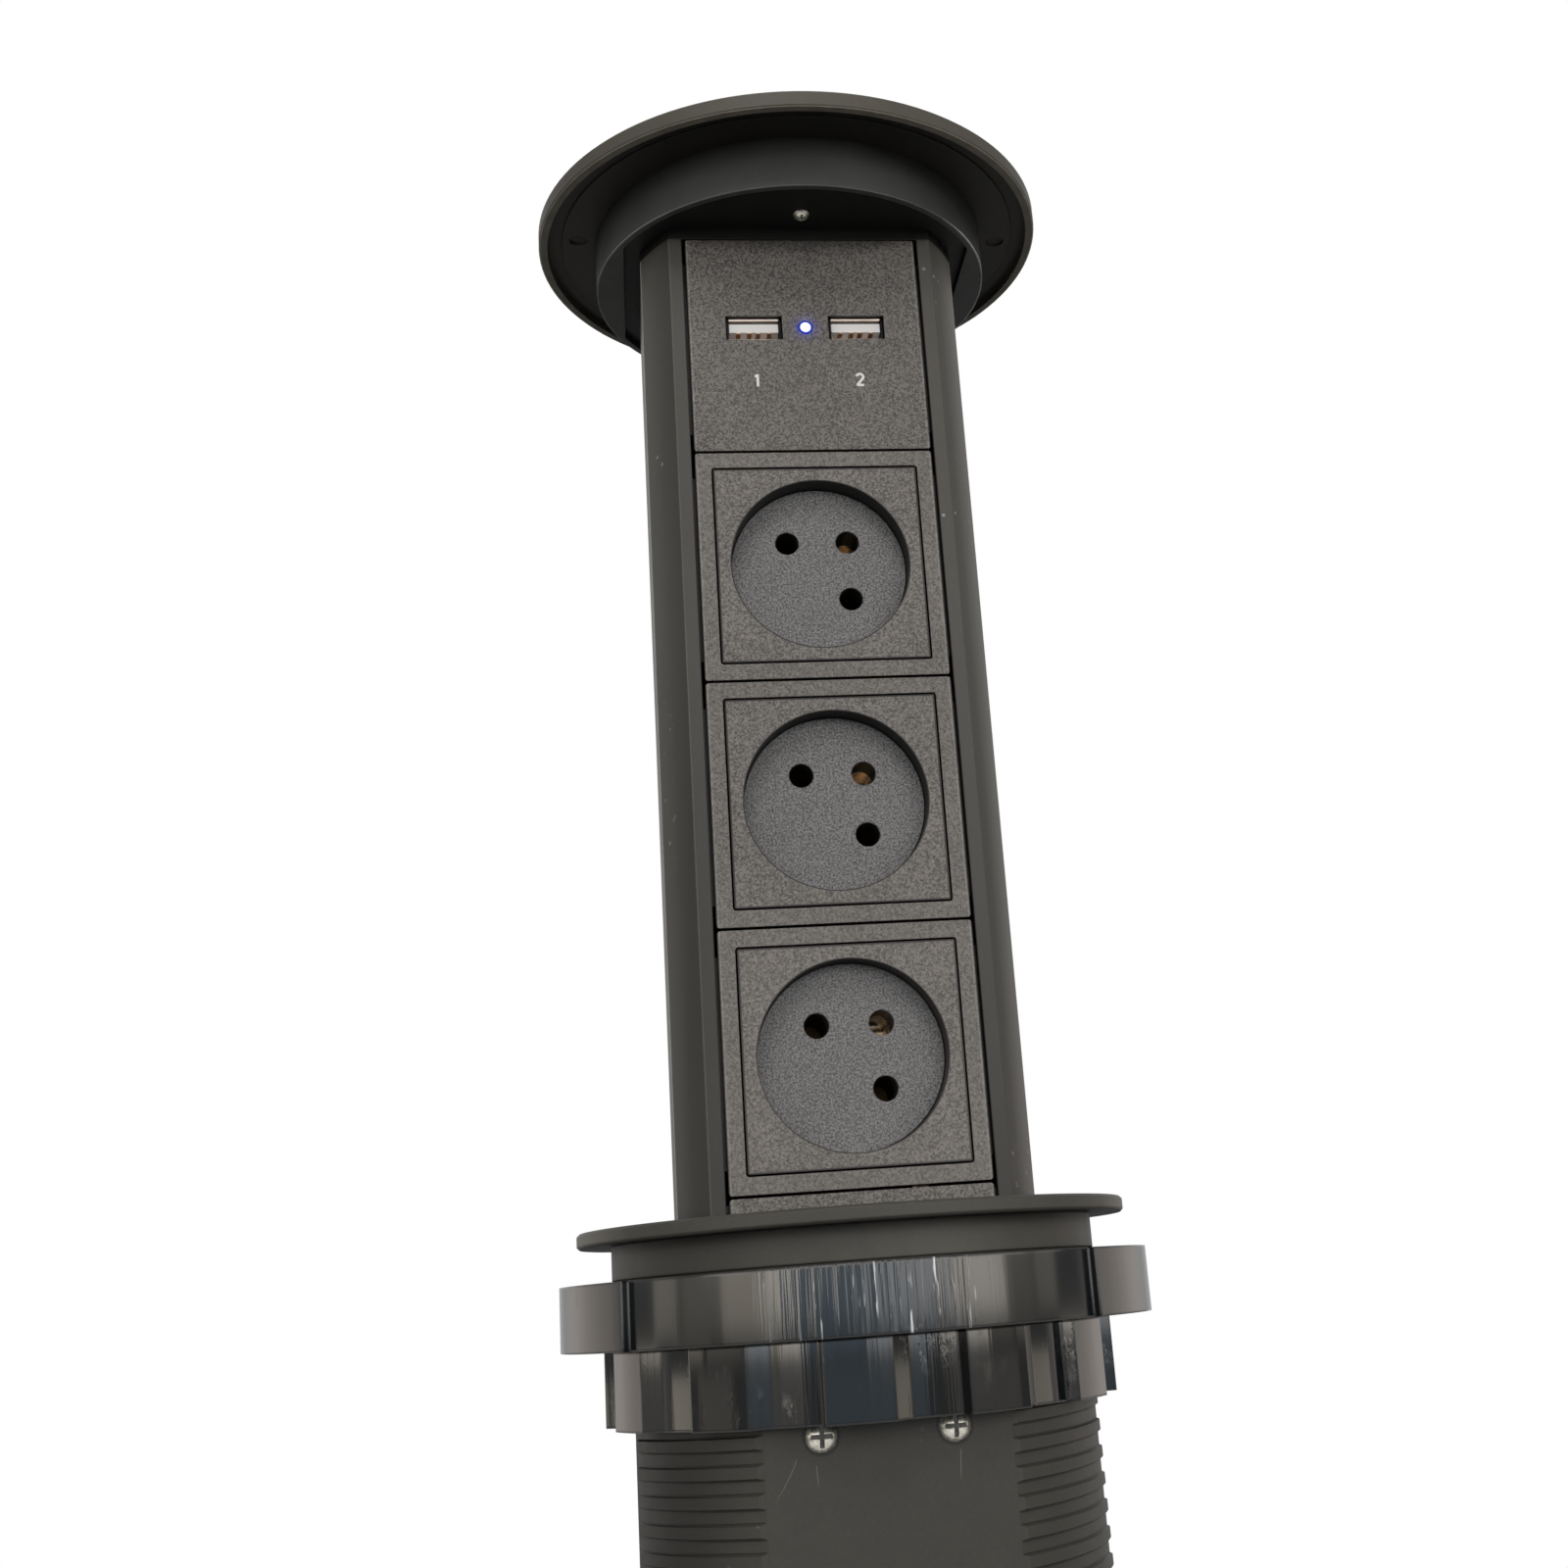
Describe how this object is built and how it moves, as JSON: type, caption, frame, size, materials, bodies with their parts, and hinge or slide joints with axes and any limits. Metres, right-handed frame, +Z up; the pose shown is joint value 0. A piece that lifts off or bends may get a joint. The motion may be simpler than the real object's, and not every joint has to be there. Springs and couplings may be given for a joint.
{
  "type": "pop-up desk socket",
  "caption": "Round pop-up desk power socket: a sliding tower of outlets and charging ports under a disc lid, in a flanged threaded housing with clamp ring and nut.",
  "frame": {"origin": "middle of the desk hole, at the desk's top surface under the flange", "axes": "+Z up along the tower's axis, -Y out of the outlets' faces"},
  "size_m": [0.1214, 0.1206, 0.5436],
  "materials": {
    "black_cover": "fine matte",
    "anodised": "matte black anodised",
    "black_plastic": "matte",
    "module_grey": "fine speckled texture",
    "core_grey": "fine speckled texture",
    "gloss_black": "gloss, lightly scuffed",
    "zinc": "bright zinc",
    "port_steel": "plain steel",
    "tongue": "satin",
    "brass": "plain",
    "lamp": "clear, lit blue",
    "board": "satin",
    "transformer": "taped winding",
    "capacitor": "sleeved can",
    "pad": "matte"
  },
  "bodies": {
    "housing": {"flange": "black_plastic", "guide_bush": "black_plastic", "brake_pads": "pad", "brake_springs": "port_steel", "housing": "black_plastic", "housing_screws": "zinc", "end_cap": "black_plastic", "end_cap_screws": "zinc", "gland_body": "black_plastic", "gland_locknut": "black_plastic", "gland_cap": "black_plastic"},
    "tower": {"lid": "black_cover", "lid_base": "black_cover", "lid_screws": "zinc", "tower_screws": "zinc", "tower_profile": "anodised", "tower_top_plate": "black_plastic", "tower_end_plug": "black_plastic", "end_plug_screws": "zinc", "filler_strip": "module_grey", "usb_faceplate": "module_grey", "usb_shells": "port_steel", "usb_tongues": "tongue", "usb_contacts": "brass", "lamp_lens": "lamp", "usb_board": "board", "usb_transformer": "transformer", "usb_capacitors": "capacitor", "socket_frame_1": "module_grey", "socket_frame_2": "module_grey", "socket_frame_3": "module_grey", "socket_insert_1": "module_grey", "socket_insert_2": "module_grey", "socket_insert_3": "module_grey", "socket_core_1": "core_grey", "socket_core_2": "core_grey", "socket_core_3": "core_grey", "live_busbar": "brass", "neutral_busbar": "brass", "earth_busbar": "brass", "busbar_cover": "black_plastic", "terminal_block": "tongue", "terminal_screws": "zinc"},
    "clamp_ring": {"clamp_ring": "gloss_black"},
    "ring_nut": {"ring_nut": "gloss_black"}
  },
  "joints": [
    {"name": "tower_slide", "type": "slide", "parent": "housing", "child": "tower", "axis": [0, 0, 1], "range_m": [-0.2305, 0]},
    {"name": "clamp_lift", "type": "slide", "parent": "housing", "child": "clamp_ring", "axis": [0, 0, 1], "range_m": [-0.0551, 0.0061]},
    {"name": "nut_turn", "type": "hinge", "parent": "clamp_ring", "child": "ring_nut", "pos_m": [0, 0, -0.0278], "axis": [0, 0, 1], "range_deg": [-3960, 432]}
  ],
  "couplings": [
    {"joint": "clamp_lift", "follows": "nut_turn", "m_per_rad": 0.00079577}
  ]
}
